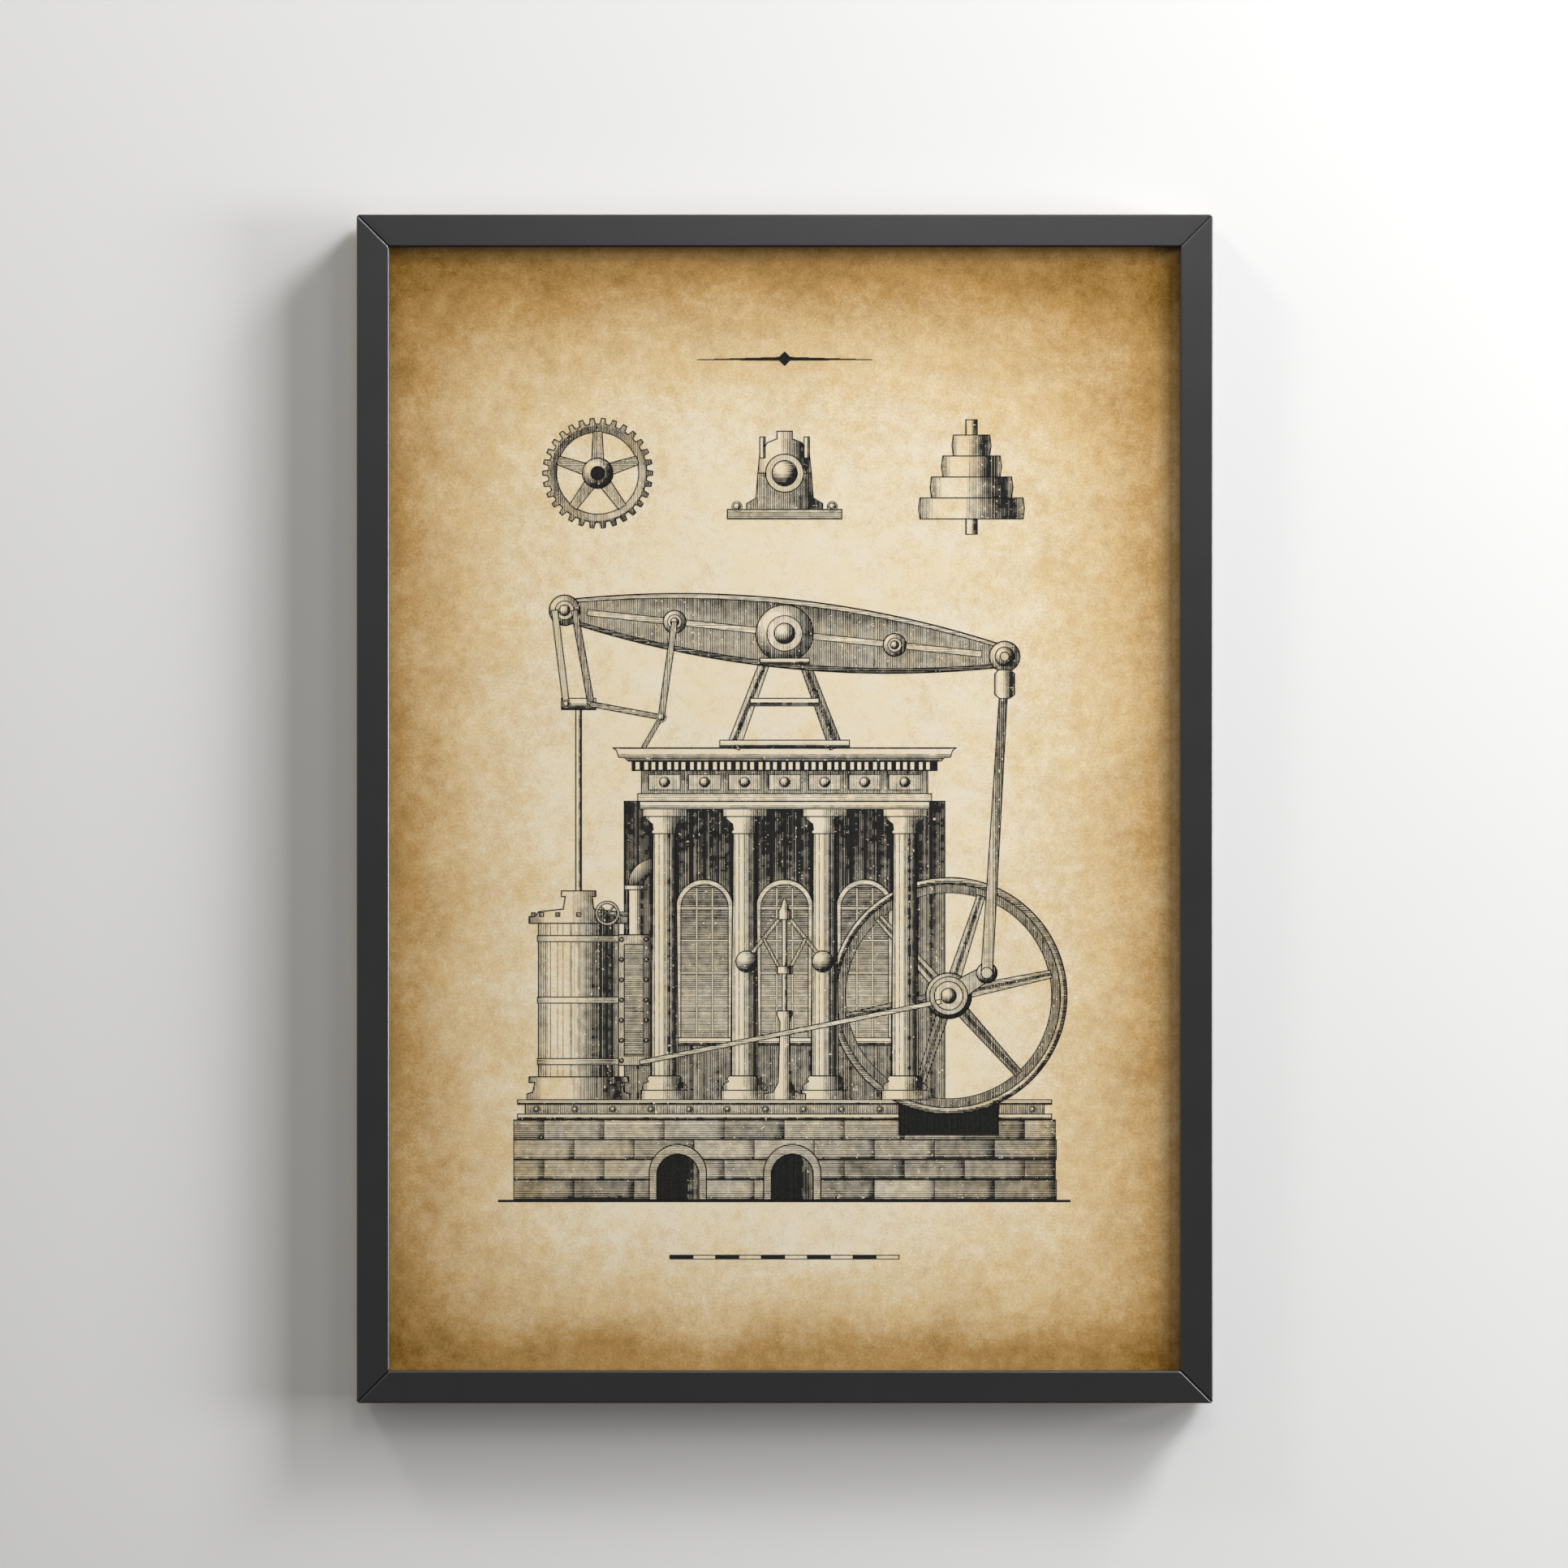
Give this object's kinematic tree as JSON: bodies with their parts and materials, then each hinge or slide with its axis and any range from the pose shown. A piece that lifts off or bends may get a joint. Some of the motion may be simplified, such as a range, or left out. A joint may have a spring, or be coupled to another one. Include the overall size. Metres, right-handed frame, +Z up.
{
  "type": "framed print",
  "caption": "Framed wall print: dark mitred moulding with a rebate, glazing, aged sheet with a line engraving, backing board, steel points and a sawtooth hanger.",
  "frame": {"origin": "centre of the sawtooth hanger's outer flat face, on the wall plane, behind the top rail", "axes": "+Z up, +Y into the wall, so the print faces -Y; +X to the viewer's right"},
  "size_m": [0.448, 0.028, 0.622],
  "materials": {
    "frame_lacquer": "smooth moulding in satin charcoal lacquer",
    "glazing": "clear picture glass, flat, cut edges",
    "print_paper": "matt art paper printed with mottled brown parchment tones, darker at the edges",
    "hardboard": "brown hardboard, smooth face out",
    "fixing_steel": "bright zinc-plated steel strip",
    "hanger_steel": "yellowish zinc-plated stamped steel",
    "bumper_rubber": "soft dark grey rubber"
  },
  "bodies": {
    "root": {"backing_board": "hardboard", "bumper_left": "bumper_rubber", "bumper_right": "bumper_rubber", "fold_nail_bottom_left_1": "fixing_steel", "fold_nail_bottom_left_2": "fixing_steel", "fold_nail_bottom_right_1": "fixing_steel", "fold_nail_bottom_right_2": "fixing_steel", "fold_nail_top_left_1": "fixing_steel", "fold_nail_top_left_2": "fixing_steel", "fold_nail_top_right_1": "fixing_steel", "fold_nail_top_right_2": "fixing_steel", "glazing": "glazing", "hanger": "hanger_steel", "hanger_pin_left": "hanger_steel", "hanger_pin_right": "hanger_steel", "point_bottom_1": "fixing_steel", "point_bottom_2": "fixing_steel", "point_bottom_3": "fixing_steel", "point_left_1": "fixing_steel", "point_left_2": "fixing_steel", "point_left_3": "fixing_steel", "point_left_4": "fixing_steel", "point_right_1": "fixing_steel", "point_right_2": "fixing_steel", "point_right_3": "fixing_steel", "point_right_4": "fixing_steel", "point_top_1": "fixing_steel", "point_top_2": "fixing_steel", "point_top_3": "fixing_steel", "print_sheet": "print_paper", "rail_bottom": "frame_lacquer", "rail_left": "frame_lacquer", "rail_right": "frame_lacquer", "rail_top": "frame_lacquer"}
  },
  "joints": []
}
